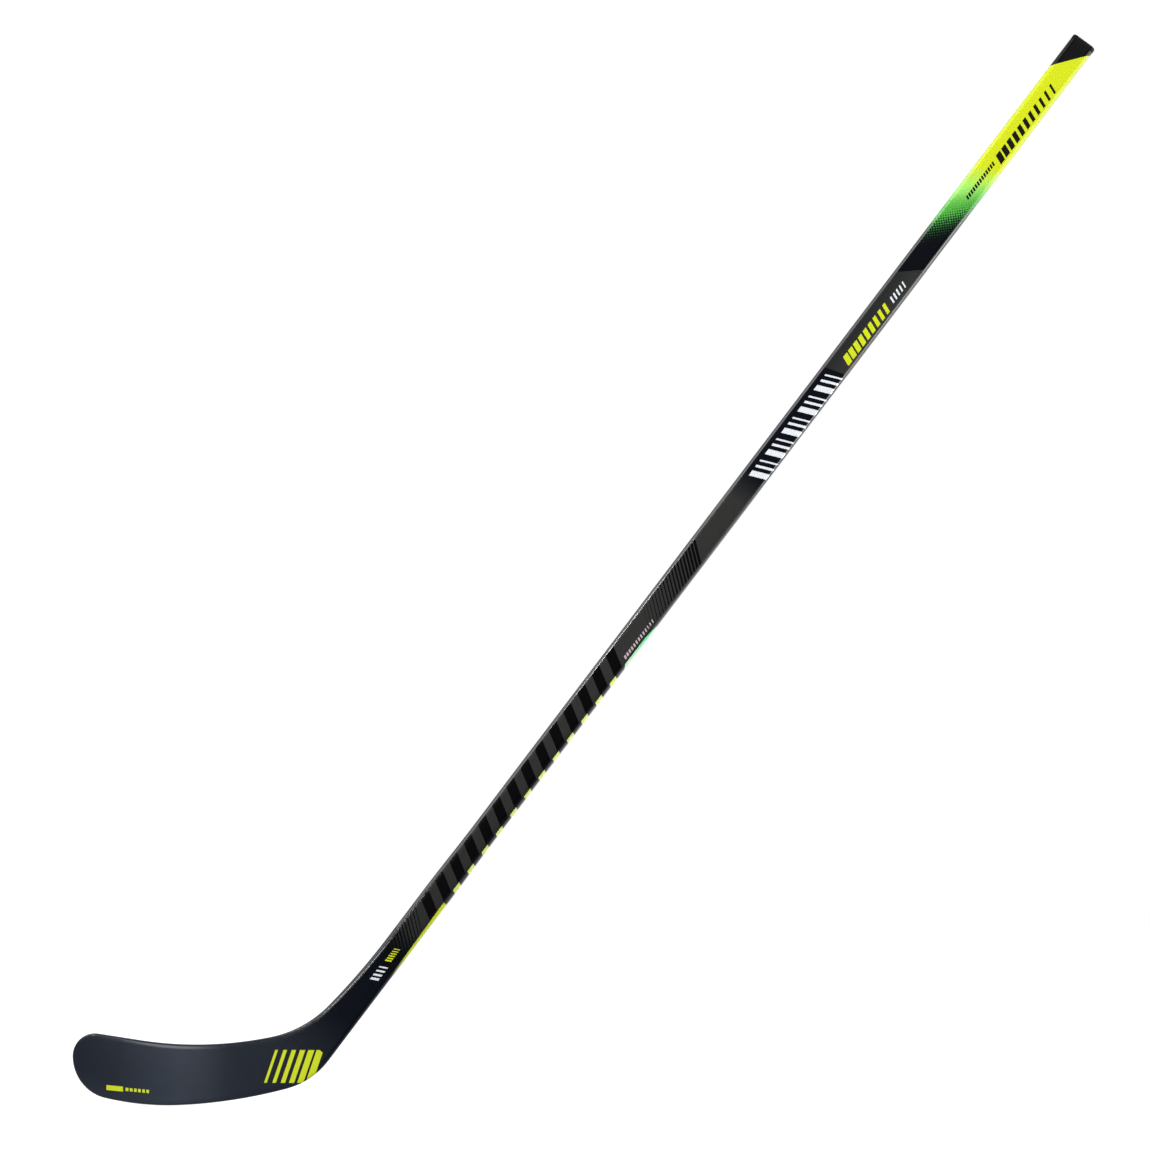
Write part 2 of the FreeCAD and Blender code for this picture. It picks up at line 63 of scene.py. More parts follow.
TOE_REACH, TOE_LIFT = 116.2, 55.4
TOE_TOP_RADIUS, TOP_SLOPE, TOP_FLAT = 27.1, math.radians(8.2), 50.5
SWEEP_RADIUS, SWEEP = 445.0, math.radians(19.8)
THROAT_RADIUS, THROAT = 133.0, math.radians(34.0)
HOSEL_RADIUS = 830.0
TOE_LOW_RADIUS, TOE_LOW = 49.0, math.radians(78.0)
ROCKER_RADIUS, ROCKER = 347.0, math.radians(14.7)
SOLE_RADIUS, SOLE = 592.0, math.radians(12.4)
CURVE_START, CURVE_TRAVEL, FACE_TWIST, TWIST_LEVEL = 75.0, 14.0, math.radians(5.0), 43.0
HEEL_DEPTH, TOE_DEPTH = 7.0, 5.2
BLEND_LOW, BLEND_TOP = 30.0, 242.0
EDGE_ROUND = 2.2


def metres(point):
    return point / 1000


# ---------------------------------------------------------------- materials from masks

class Value:
    """A number at every point of a surface, worked out by shader nodes."""

    def __init__(self, tree, socket):
        self.tree = tree
        self.socket = socket

    def math(self, operation, *others, clamp=False):
        node = self.tree.nodes.new("ShaderNodeMath")
        node.operation = operation
        node.use_clamp = clamp
        for slot, item in enumerate((self,) + others):
            feed(self.tree, item, node.inputs[slot])
        return Value(self.tree, node.outputs[0])

    def __add__(self, other):
        return self.math("ADD", other)

    def __sub__(self, other):
        return self.math("SUBTRACT", other)

    def __mul__(self, other):
        return self.math("MULTIPLY", other)

    def above(self, level, soft=0.3):
        """0 below the level and 1 above it, with a soft step between."""
        return (self - level).math("MULTIPLY_ADD", 1 / soft, 0.5, clamp=True)

    def below(self, level, soft=0.3):
        return (self - level).math("MULTIPLY_ADD", -1 / soft, 0.5, clamp=True)

    def between(self, low, high, soft=0.3):
        return self.above(low, soft) * self.below(high, soft)

    def ramp(self, start, end):
        """0 at start and 1 at end, held beyond them."""
        node = self.tree.nodes.new("ShaderNodeMapRange")
        node.inputs["From Min"].default_value = start
        node.inputs["From Max"].default_value = end
        self.tree.links.new(self.socket, node.inputs["Value"])
        return Value(self.tree, node.outputs[0])

    def within(self, pitch):
        """How far into its repeat the value is."""
        return (self * (1 / pitch)).math("FRACT") * pitch


def feed(tree, item, socket):
    """Link a value to a socket, or set the socket to a plain number or colour."""
    if isinstance(item, Value):
        item = item.socket
    if isinstance(item, bpy.types.NodeSocket):
        tree.links.new(item, socket)
    else:
        socket.default_value = item


def bars(level, start, end, count, wide, narrow):
    """Evenly pitched bars between two levels, from wide at the start to narrow at the end."""
    width = level.ramp(start, end) * (narrow - wide) + wide
    pitch = (end - start) / count
    return (level - start).within(pitch).below(width) * level.between(start, end - pitch / 10)


def srgb(red, green, blue):
    """Colour as it shows on a screen, 0 to 255, in the linear form that shaders take."""
    levels = [level / 255 for level in (red, green, blue)]
    return tuple(x / 12.92 if x <= 0.04045 else ((x + 0.055) / 1.055) ** 2.4 for x in levels) + (1.0,)


class Paint:
    """A finish built up in layers, each laid over the last where its mask is 1."""

    def __init__(self, name, colour, roughness, coat=0.0, coat_roughness=0.1, specular=0.5):
        self.material = bpy.data.materials.new(name)
        self.material.use_nodes = True
        self.tree = self.material.node_tree
        self.shader = self.tree.nodes["Principled BSDF"]
        self.shader.inputs["Specular IOR Level"].default_value = specular
        self.shader.inputs["Coat Weight"].default_value = coat
        self.shader.inputs["Coat Roughness"].default_value = coat_roughness
        self.colour = colour
        self.roughness = roughness
        self.normal = None
        self.point = self.tree.nodes.new("ShaderNodeTexCoord").outputs["Object"]
        self.u = self.along(UP, FOOT)
        self.w = self.along(OUT, FOOT)
        self.y = self.along(THROUGH)

    def along(self, direction, origin=Vector((0, 0, 0))):
        """Distance in mm along a direction of the row frame."""
        shift = self.tree.nodes.new("ShaderNodeVectorMath")
        shift.operation = "SUBTRACT"
        shift.inputs[1].default_value = metres(origin)
        self.tree.links.new(self.point, shift.inputs[0])
        dot = self.tree.nodes.new("ShaderNodeVectorMath")
        dot.operation = "DOT_PRODUCT"
        dot.inputs[1].default_value = direction * 1000
        self.tree.links.new(shift.outputs[0], dot.inputs[0])
        return Value(self.tree, dot.outputs["Value"])

    def noise(self, size, detail=3.0, length=1.0):
        """Cloudy values round 0.5 with features of a size in mm, that many times longer up the shaft."""
        spot = self.tree.nodes.new("ShaderNodeCombineXYZ")
        for slot, item in enumerate((self.u * (1 / length), self.w, self.y)):
            feed(self.tree, item, spot.inputs[slot])
        node = self.tree.nodes.new("ShaderNodeTexNoise")
        node.inputs["Scale"].default_value = 1 / size
        node.inputs["Detail"].default_value = detail
        self.tree.links.new(spot.outputs[0], node.inputs["Vector"])
        return Value(self.tree, node.outputs[0])

    def dots(self, share):
        """A mask that goes from bare through a grainy screen of dots to full as share goes from 0 to 1."""
        across = self.w + self.y
        screen = [(line * (math.tau / DOT_PITCH)).math("SINE") for line in (self.u + across, self.u - across)]
        level = (screen[0] + screen[1]) * 0.17 + self.noise(1.3, detail=1) * 0.6 + 0.2
        return (share * 1.4 - level - 0.2).above(0, 0.3)

    def mix(self, kind, mask, under, over):
        inputs, output = {"RGBA": ((6, 7), 2), "FLOAT": ((2, 3), 0)}[kind]  # the node's sockets for a kind
        node = self.tree.nodes.new("ShaderNodeMix")
        node.data_type = kind
        feed(self.tree, mask, node.inputs[0])
        feed(self.tree, under, node.inputs[inputs[0]])
        feed(self.tree, over, node.inputs[inputs[1]])
        return node.outputs[output]

    def lay(self, mask, colour, roughness=None):
        self.colour = self.mix("RGBA", mask, self.colour, colour)
        if roughness is not None:
            self.roughness = self.mix("FLOAT", mask, self.roughness, roughness)

    def bump(self, height, depth, strength=1.0):
        """Relief, depth in mm."""
        node = self.tree.nodes.new("ShaderNodeBump")
        node.inputs["Strength"].default_value = strength
        node.inputs["Distance"].default_value = depth / 1000
        feed(self.tree, height, node.inputs["Height"])
        if self.normal:
            self.tree.links.new(self.normal, node.inputs["Normal"])
        self.normal = node.outputs[0]

    def done(self):
        feed(self.tree, self.colour, self.shader.inputs["Base Color"])
        feed(self.tree, self.roughness, self.shader.inputs["Roughness"])
        if self.normal:
            self.tree.links.new(self.normal, self.shader.inputs["Normal"])
        return self.material


LIME = srgb(214, 227, 34)
GREEN = srgb(88, 182, 70)
DARK_GREEN = srgb(34, 80, 42)
MINT = srgb(96, 226, 150)
INK = srgb(14, 15, 12)
JET = srgb(4, 4, 6)
NAVY = srgb(9, 12, 18)
CHARCOAL = srgb(42, 42, 41)
SHADED = srgb(34, 34, 33)  # the charcoal as it is at the joint
BAND = srgb(10, 13, 21)
WHITE = srgb(232, 238, 243)
ROSE = srgb(214, 190, 200)
PALE_GREEN = srgb(166, 240, 114)
# lime of the tips on the outer edge: a lime print, made paler as a painted highlight of the light on that
# edge
PALE_LIME_AND_SHEEN = srgb(232, 246, 130)
GLOSSY, SATIN, MATT = 0.16, 0.32, 0.42  # roughness
DOT_PITCH = 4.0

# graphics on the shaft: mm up the shaft, or repeats and widths in mm
BAR_START, BAR_PITCH, BAR_WIDTH, BAR_SLANT = 285.6, 27.2, 14.4, 0.58
GROUP_START, BEAT, GROUPS = 914.0, 31.0, 5
BAND_END = 1068.0


def laminate(paint):
    """Faint carbon weave and fibre streaks under clear lacquer, over the charcoal ground."""
    u, w = paint.u, paint.w
    tows = [(u + w).within(5.0).below(2.5, 0.4), (u - w).within(5.0).below(2.5, 0.4)]
    weave = (tows[0] - tows[1]).math("ABSOLUTE")
    paint.lay(weave * 0.5, srgb(49, 49, 48))
    streaks = paint.noise(1.0, detail=4, length=8)
    paint.lay(streaks.ramp(0.45, 0.8) * 0.3, srgb(60, 60, 59))


def lower_graphics(paint):
    """Pinstripes and the lime strip where the shaft runs into the hosel; both pieces carry them."""
    u, w = paint.u, paint.w
    pins = bars(u + w * 0.8, 208, 277, 13, 4.4, 1.0)
    paint.lay(pins * w.between(-12.4, 12.4, 0.6), JET, GLOSSY)
    strip = w.above(u.ramp(300, 190) * 2.6 + 12.2, 0.4) * u.between(200, 305, 0.6)
    paint.lay(strip * u.ramp(200, 232), LIME, SATIN)


def shaft_lacquer():
    paint = Paint("shaft_lacquer", CHARCOAL, MATT, coat=0.5, coat_roughness=0.1, specular=0.2)
    u, w = paint.u, paint.w
    laminate(paint)
    paint.lay(u.ramp(650, 280) * 0.5, srgb(22, 23, 21))  # darker towards the joint
    face = w.between(-12.8, 12.1, 0.6)

    # large diagonal bars, gloss on matt, with lime between their outer ends
    slant = u + w * BAR_SLANT
    bar = (slant - BAR_START).within(BAR_PITCH).below(BAR_WIDTH)
    run = slant.between(BAR_START, 655)
    paint.lay(bar * run * face, JET, GLOSSY)
    # the outer edge between the bars' ends is grey-purple: partly its own dark paint, partly a painted
    # reflection of the light from the right
    outer = w.above(12.0, 0.5)
    paint.lay(outer * slant.between(290, 660), srgb(52, 50, 58), SATIN)
    # lime tips on the outer edge, their paleness partly a painted highlight
    tips = (slant - 303.0).within(BAR_PITCH).below(11.6)
    paint.lay(tips * slant.between(328, 650) * w.above(12.2), PALE_LIME_AND_SHEEN, SATIN)
    paint.lay(u.ramp(262, 222), NAVY)
    lower_graphics(paint)

    # mint wedge on the outer edge and a run of small ticks beside it
    wedge = (w - u.ramp(690, 712) * 2.6).above(12.7) * (u + w * 2).between(677, 738)
    paint.lay(w.between(11.7, 12.7) * u.between(662, 704), JET)
    paint.lay(wedge, MINT, SATIN)
    paint.lay(wedge * u.ramp(690, 655), srgb(196, 240, 190))
    ticks = bars(u + w * 0.4, 660, 717, 13, 2.9, 1.6) * w.between(6.2, 9.9)
    paint.lay(ticks * 0.85, ROSE)

    # pinstripes that thin out
    pins = bars(u + w * 0.8, 708, 809, 19, 0.5, 4.0) * face
    paint.lay(pins, JET, GLOSSY)

    # black band with bars in groups of one broad and two thin
    edge = u - w * 0.3
    paint.lay(u.ramp(880, 916) * edge.below(BAND_END), BAND, GLOSSY)
    lean = u - w * 0.42
    beat = (lean - GROUP_START).within(BEAT)
    group = beat.between(0, 7.4) + beat.between(12.4, 15.6) + beat.between(20.8, 23.0)
    groups = group * lean.between(GROUP_START, GROUP_START + GROUPS * BEAT - 1)
    paint.lay(groups * w.between(-5.6, 13.6), WHITE, SATIN)

    # lime and white bars on charcoal that darkens inwards, navy above
    paint.lay(edge.above(BAND_END) * w.ramp(8, -12) * 0.7, srgb(20, 23, 27))
    paint.lay(bars(u + w * 0.4, 1086, 1170, 9, 7.6, 4.4) * w.between(-1.2, 10.0), LIME, SATIN)
    paint.lay(bars(u + w * 0.4, 1174, 1202, 5, 2.6, 1.8) * w.between(0.4, 7.6), WHITE, SATIN)
    upper = (u - w * 0.88).above(1212.5)
    paint.lay(upper, NAVY, GLOSSY)

    # grainy fade from dark through green to lime
    dark = u - w * 1.4
    pale = u - w * 0.5
    paint.lay(paint.dots(dark.ramp(1242, 1310)) * upper, DARK_GREEN)
    paint.lay(paint.dots(dark.ramp(1262, 1326)) * upper, GREEN)
    paint.lay(dark.ramp(1306, 1338) * pale.ramp(1300, 1324), PALE_GREEN)
    paint.lay(pale.ramp(1330, 1364) * upper, LIME, GLOSSY)

    # black bars and ticks on the lime, black butt
    paint.lay(bars(u + w * 0.4, 1378, 1490, 11, 8.2, 2.8) * w.between(-1.4, 9.8), INK, SATIN)
    paint.lay(bars(u + w * 0.4, 1320, 1373, 13, 2.6, 2.6) * w.between(-0.4, 4.2), INK, SATIN)
    paint.lay((u - w * 1.26).above(1518.2), JET, SATIN)

    paint.bump(paint.noise(2.5, detail=2), 0.008, 0.2)
    return paint.done()


def blade_lacquer():
    paint = Paint("blade_lacquer", srgb(26, 32, 43), SATIN, coat=0.2, coat_roughness=0.12, specular=0.2)
    u, w = paint.u, paint.w
    x = paint.along(Vector((1, 0, 0)))
    z = paint.along(Vector((0, 0, 1)))

    # painted sheen: the blue is palest in the middle of the blade and darker towards the heel, under grit and
    # faint clouds
    paint.lay(x.ramp(-70, 0), srgb(28, 40, 57))
    paint.lay(x.ramp(15, 75), srgb(8, 19, 34))
    grit = paint.noise(1.0, detail=5)
    paint.lay(grit.ramp(0.4, 0.75) * 0.3, srgb(32, 42, 57))
    cloud = paint.noise(40, detail=2)
    paint.lay(cloud.ramp(0.4, 0.7) * 0.3, srgb(12, 19, 30))

    # glossy and nearly black up the hosel, then charcoal with the shaft's stripes
    paint.lay(u.ramp(50, 130), srgb(2, 8, 19), 0.14)
    paint.lay(u.ramp(222, 262), SHADED, MATT)
    lower_graphics(paint)
    paint.lay(bars(u - w * 0.5, 184, 207, 4, 3.4, 1.6) * w.between(-2.6, 6.4), WHITE)
    paint.lay(bars(u - w * 0.5, 211, 231, 6, 2.2, 1.0) * w.between(-1.6, 5.0), LIME)

    # heel: leaning bars that narrow towards the toe
    lean = x - z * 0.34
    paint.lay(bars(lean, 107, 165, 6, 3.0, 8.2) * z.between(27, 65) * u.below(82), LIME)

    # toe: a short block and ticks, level with the sole
    line = z + x * 0.08
    paint.lay(x.between(-70, -50) * line.between(11.4, 17.2), LIME)
    paint.lay(bars(x, -47, -17, 6, 3.6, 3.0) * line.between(12.4, 16.2), LIME)

    paint.bump(paint.noise(0.6, detail=3), 0.015, 0.25)
    return paint.done()


def moulded(name, colour, spot, roughness, size, relief, **finish):
    """A plain moulding or filling with mottle and fine relief."""
    paint = Paint(name, colour, roughness, **finish)
    paint.lay(paint.noise(size, detail=5).ramp(0.42, 0.75) * 0.6, spot)
    paint.bump(paint.noise(size * 0.6, detail=3), relief, 0.6)
    return paint.done()


MATERIALS = {
    "shaft_laminate": shaft_lacquer(),
    "blade_laminate": blade_lacquer(),
    "cap_rubber": moulded("cap_rubber_black", srgb(6, 6, 7), srgb(15, 15, 16), 0.5, 0.8, 0.03, specular=0.15),
    "plug_plastic": moulded("plug_grey_plastic", srgb(58, 59, 61), srgb(78, 79, 81), 0.5, 1.5, 0.03),
    "foam": moulded("core_foam", srgb(206, 196, 170), srgb(176, 164, 136), 0.9, 0.7, 0.15),
    "raw_fibre": moulded("raw_carbon", srgb(34, 34, 36), srgb(58, 58, 60), 0.45, 0.6, 0.05),
    "resin": moulded("bond_resin", srgb(74, 66, 48), srgb(96, 86, 62), 0.25, 2.0, 0.02),
    "insert_rubber": moulded("insert_elastomer", srgb(40, 40, 42), srgb(56, 56, 58), 0.65, 1.0, 0.05),
}


def finish_cad_nodes():
    """Every carried-over node gets its slot's finish."""
    slots = {part["node"]: part["material_slot"] for part in frame["record"]["subparts"]}
    for name, item in frame["nodes"].items():
        item.data.materials.clear()
        item.data.materials.append(MATERIALS[slots[name]])


def finish_mesh(form, name, sharp):
    """Turn a bmesh into a smooth object with sharp edges above an angle."""
    for face in form.faces:
        face.smooth = True
    bmesh.ops.recalc_face_normals(form, faces=form.faces)
    mesh = bpy.data.meshes.new(name)
    form.to_mesh(mesh)
    form.free()
    mesh.set_sharp_from_angle(angle=math.radians(sharp))
    item = bpy.data.objects.new(name, mesh)
    bpy.context.scene.collection.objects.link(item)
    return item


# ---------------------------------------------------------------- shaft

CORNER_STEPS = 8
WIDE_STEPS, NARROW_STEPS = 6, 3
TAPER_STEPS, STRAIGHT_STEPS = 29, 44
STRIPS, STRIP_PITCH, STRIP_WIDTH = 4, 0.235, 0.227  # the chart's strips, in shares of its side
STRIP_START, STRIP_RUN = 0.035, 0.93
CHART_EDGE, END_LEVEL, BORE_LEVEL, BORE_WIDTH = 0.004, 0.94, 0.945, 0.05


def shaft_point(u, w, y):
    return metres(FOOT + UP * u + OUT * w + THROUGH * y)


def section_at(u):
    """Half width, half depth and corner of the shaft, on a smooth curve through the sections."""
    for index, (low, high) in enumerate(zip(SECTIONS, SECTIONS[1:])):
        if u <= high[0]:
            break
    else:
        return SECTIONS[-1][1:]
    run = high[0] - low[0]
    share = (u - low[0]) / run
    sizes = []
    for column in (1, 2, 3):
        slopes = []
        for at in (index, index + 1):
            inner = 0 < at < len(SECTIONS) - 1
            before, after = SECTIONS[at - 1 if inner else at], SECTIONS[at + 1 if inner else at]
            slopes.append((after[column] - before[column]) / (after[0] - before[0]) if inner else 0.0)
        sizes.append((2 * share ** 3 - 3 * share ** 2 + 1) * low[column]
                     + (3 * share ** 2 - 2 * share ** 3) * high[column]
                     + (share ** 3 - 2 * share ** 2 + share) * run * slopes[0]
                     + (share ** 3 - share ** 2) * run * slopes[1])
    return tuple(sizes)


def rounded_section(half_width, half_depth, corner):
    """Points (w, y) round a rounded rectangle, clockwise from the top of its outer edge."""
    spots = []
    for sign_w, sign_y, start in ((1, 1, 90), (1, -1, 0), (-1, -1, -90), (-1, 1, -180)):
        for step in range(CORNER_STEPS + 1):
            angle = math.radians(start - 90 * step / CORNER_STEPS)
            spots.append(Vector((sign_w * (half_width - corner) + corner * math.cos(angle),
                                 sign_y * (half_depth - corner) + corner * math.sin(angle))))
    ring = []
    for index, spot in enumerate(spots):
        ring.append(spot)
        following = spots[(index + 1) % len(spots)]
        if (index + 1) % (CORNER_STEPS + 1) == 0:
            steps = NARROW_STEPS if abs(spot.x - following.x) < 1e-6 else WIDE_STEPS
            ring += [spot.lerp(following, step / steps) for step in range(1, steps)]
    return ring


def shaft_shell():
    """Outside of the tube, its rim and its bore, closed at the joint and at the bore's foot."""
    taper, straight = TAPER_TOP - JOINT, SHAFT_END - TAPER_TOP
    outside = [JOINT + taper * step / TAPER_STEPS for step in range(TAPER_STEPS)]
    outside += [TAPER_TOP + straight * step / STRAIGHT_STEPS for step in range(STRAIGHT_STEPS + 1)]
    rings = [(u, rounded_section(*section_at(u))) for u in outside]
    rings += [(u, rounded_section(*BORE)) for u in (SHAFT_END, BORE_MIDDLE, BORE_FOOT)]

    form = bmesh.new()
    grid = [[form.verts.new(shaft_point(u, spot.x, spot.y)) for spot in ring] for u, ring in rings]
    count = len(grid[0])
    widest = rings[len(outside) - 1][1]
    lengths = [0.0]
    for index in range(count):
        lengths.append(lengths[-1] + (widest[(index + 1) % count] - widest[index]).length)
    chart = form.loops.layers.uv.new("OFBake")
    strip_length = (SHAFT_END - JOINT) / STRIPS

    def chart_point(row, u, run):
        """The outside folds into side by side strips; the bore gets a narrow one below them."""
        around = run / lengths[-1]
        if row >= len(outside) - 1:
            depth = (SHAFT_END - u) / (SHAFT_END - BORE_FOOT)
            return (CHART_EDGE + (1 - 2 * CHART_EDGE) * around, BORE_LEVEL + BORE_WIDTH * depth)
        middle = (outside[row] + outside[row + 1]) / 2
        strip = int((middle - JOINT) / strip_length)
        return (STRIP_START + STRIP_RUN * ((u - JOINT) / strip_length - strip),
                STRIP_PITCH * strip + CHART_EDGE + STRIP_WIDTH * around)

    for row, (low, high) in enumerate(zip(grid, grid[1:])):
        for index in range(count):
            after = (index + 1) % count
            face = form.faces.new((low[index], low[after], high[after], high[index]))
            corners = ((row, index), (row, index + 1), (row + 1, index + 1), (row + 1, index))
            for loop, (ring, step) in zip(face.loops, corners):
                loop[chart].uv = chart_point(row, rings[ring][0], lengths[step])
    for ends in (grid[0], grid[-1]):
        for loop in form.faces.new(ends).loops:
            loop[chart].uv = (0.5, END_LEVEL)
    return finish_mesh(form, "shaft_shell", 40)


# ---------------------------------------------------------------- blade and hosel

BLADE_STATIONS, BLADE_ROWS, ROUND_STEPS = 110, 16, 6
TOE_CROWDING = 1.35
RIM_STEPS = range(4, 9)  # the steps round the rim that turn too far to be charted flat
CHART, CHART_LIFT, CHART_MARGIN = 440.0, 218.0, 3.0
RIM_FOLD, RIM_PITCH, RIM_STEP, RIM_SHELF = 162.0, 13.0, 2.2, 114.0


class Trail:
    """Straight runs and arcs in the x-z plane that can be asked for any point along them."""

    def __init__(self, start, heading):
        self.point = Vector(start)
        self.heading = heading
        self.legs = []
        self.length = 0.0

    def leg(self, length, turn=0.0):
        self.legs.append((self.length, self.point, self.heading, turn / length))
        self.length += length
        self.point, self.heading = self.at(self.length)
        return self

    def arc(self, radius, turn):
        return self.leg(radius * abs(turn), turn)

    def at(self, distance):
        start, point, heading, bend = [leg for leg in self.legs if leg[0] <= distance][-1]
        turned = heading + bend * (distance - start)
        if bend == 0:
            return point + Vector((math.cos(heading), math.sin(heading))) * (distance - start), heading
        return point + Vector((math.sin(turned) - math.sin(heading),
                               math.cos(heading) - math.cos(turned))) / bend, turned

    def moved(self, shift):
        self.legs = [(start, point + shift, heading, bend) for start, point, heading, bend in self.legs]
        return self


def up_and_out(point, foot):
    """u and w of a point (x, z) for a shaft whose axis starts at foot."""
    x, z = point.x - foot, point.y
    return x * UP.x + z * UP.z, x * OUT.x + z * OUT.z


def blade_trails():
    """Top edge and sole, both from the toe to the joint."""
    half = SECTIONS[0][1]
    toe = (-TOE_REACH, TOE_LIFT)
    top = Trail(toe, math.pi / 2).arc(TOE_TOP_RADIUS, -math.pi / 2 - TOP_SLOPE).leg(TOP_FLAT)
    top.arc(SWEEP_RADIUS, SWEEP).arc(THROAT_RADIUS, THROAT)
    top.arc(HOSEL_RADIUS, LEAN + TOP_SLOPE - SWEEP - THROAT)
    foot = (up_and_out(top.point, 0)[1] + half) / OUT.x
    top.leg(JOINT - up_and_out(top.point, foot)[0])

    low = Trail(toe, -math.pi / 2).arc(TOE_LOW_RADIUS, TOE_LOW)
    low.arc(ROCKER_RADIUS, ROCKER).arc(SOLE_RADIUS, SOLE)
    rest = LEAN - low.heading
    low.arc((half - up_and_out(low.point, foot)[1]) / (1 - math.cos(rest)), rest)
    low.leg(JOINT - up_and_out(low.point, foot)[0])
    shift = Vector((FOOT.x - foot, FOOT.z))
    return top.moved(shift), low.moved(shift)


TOP_TRAIL, LOW_TRAIL = blade_trails()
TOE_X = TOP_TRAIL.at(0)[0].x


def hosel_share(x, z):
    """0 in the blade, 1 where the hosel has the joint's full thickness."""
    level = (x - FOOT.x) * UP.x + (z - FOOT.z) * UP.z
    share = max(0.0, min(1.0, (level - BLEND_LOW) / (BLEND_TOP - BLEND_LOW)))
    return share * share * (3 - 2 * share)


def toe_share(x):
    return max(0.0, (CURVE_START - x) / (CURVE_START - TOE_X))


def blade_middle(x, z):
    """The toe curves to the forehand side and its face opens upwards."""
    share = toe_share(x)
    return share ** 2 * (CURVE_TRAVEL - math.tan(FACE_TWIST) * (z - TWIST_LEVEL))


def half_thickness(x, z):
    blade = HEEL_DEPTH + (TOE_DEPTH - HEEL_DEPTH) * min(1.0, toe_share(x))
    return (blade + (2 * SECTIONS[0][2] - blade) * hosel_share(x, z)) / 2


def blade_shell():
    """Two faces of rows from the sole to the top edge, joined round the rim by a rounded strip."""
    form = bmesh.new()
    chart = form.loops.layers.uv.new("OFBake")
    turns = [math.radians(90 - 90 * step / ROUND_STEPS) for step in range(ROUND_STEPS + 1)]
    profile = [(-1, turn) for turn in turns] + [(1, turn) for turn in reversed(turns)]

    def rim(trail, station, inward):
        point, heading = trail.at(trail.length * (station / BLADE_STATIONS) ** TOE_CROWDING)
        inside = Vector((-math.sin(heading), math.cos(heading))) * inward
        radius = EDGE_ROUND + (SECTIONS[0][3] - EDGE_ROUND) * hosel_share(*point)
        verts = []
        for side, turn in profile:
            spot = point + inside * radius * (1 - math.cos(turn))
            rise = half_thickness(*spot) - radius * (1 - math.sin(turn))
            y = blade_middle(*spot) + side * rise
            verts.append(form.verts.new(metres(Vector((spot.x, y, spot.y)))))
        return verts

    rims = [rim(LOW_TRAIL, station, 1) for station in range(BLADE_STATIONS, 0, -1)]
    rims += [rim(TOP_TRAIL, station, -1) for station in range(BLADE_STATIONS + 1)]
    runs = [0.0]
    for before, after in zip(rims, rims[1:]):
        runs.append(runs[-1] + (after[ROUND_STEPS].co - before[ROUND_STEPS].co).length * 1000)

    def chart_flat(verts, side):
        """A face keeps its own shape in the chart, with the two sides one above the other."""
        for loop in form.faces.new(verts).loops:
            spot = loop.vert.co * 1000
            loop[chart].uv = ((spot.x - TOE_X + CHART_MARGIN) / CHART,
                              (spot.z + CHART_MARGIN + (CHART_LIFT if side > 0 else 0)) / CHART)

    def chart_rim(verts, station, step):
        """The rim runs to and fro in short lengths over the toe's empty corner of the chart."""
        fold = int((runs[station] + runs[station + 1]) / 2 / RIM_FOLD)
        corners = ((station, step), (station + 1, step), (station + 1, step + 1), (station, step + 1))
        for loop, (ring, row) in zip(form.faces.new(verts).loops, corners):
            loop[chart].uv = ((runs[ring] - fold * RIM_FOLD + 2 * CHART_MARGIN) / CHART,
                              (RIM_SHELF + fold * RIM_PITCH + (row - RIM_STEPS[0]) * RIM_STEP) / CHART)

    for station, (before, after) in enumerate(zip(rims, rims[1:])):
        for step, verts in enumerate(zip(before, after, after[1:], before[1:])):
            if step in RIM_STEPS:
                chart_rim(verts, station, step)
            else:
                chart_flat(verts, 1 if step > ROUND_STEPS else -1)

    end_rows = []
    for side, edge in ((-1, 0), (1, len(profile) - 1)):
        rows = []
        for station in range(1, BLADE_STATIONS + 1):
            start, end = rims[BLADE_STATIONS - station][edge], rims[BLADE_STATIONS + station][edge]
            row = [start]
            for step in range(1, BLADE_ROWS):
                spot = start.co.lerp(end.co, step / BLADE_ROWS) * 1000
                y = blade_middle(spot.x, spot.z) + side * half_thickness(spot.x, spot.z)
                row.append(form.verts.new(metres(Vector((spot.x, y, spot.z)))))
            rows.append(row + [end])
        tip = rims[BLADE_STATIONS][edge]
        for verts in zip(rows[0], rows[0][1:]):
            chart_flat((tip,) + verts, side)
        for before, after in zip(rows, rows[1:]):
            for verts in zip(before, after, after[1:], before[1:]):
                chart_flat(verts, side)
        end_rows.append(rows[-1])
    end = form.faces.new(end_rows[0] + rims[-1][1:-1] + end_rows[1][::-1] + rims[0][-2:0:-1])
    for loop in end.loops:
        loop[chart].uv = (0.99, 0.01)
    return finish_mesh(form, "blade_shell", 50)


# ---------------------------------------------------------------- studio

CENTRE = Vector((0.4758, 0.0, 0.6153))
CAMERA_DISTANCE, VIEW_WIDTH, SWING = 5.5, 1.334, math.radians(5.5)
PAPER, DUSK, GLOW = 0.3, 0.08, 0.8  # how much the ground reflects and how much it glows near the stick
GLOW_START = 0.4
BEHIND = (-0.15, 0.05)  # depths between which the ground turns white in gloss
WORLD_FILL = 0.07


def grey(level):
    return (level, level, level, 1)


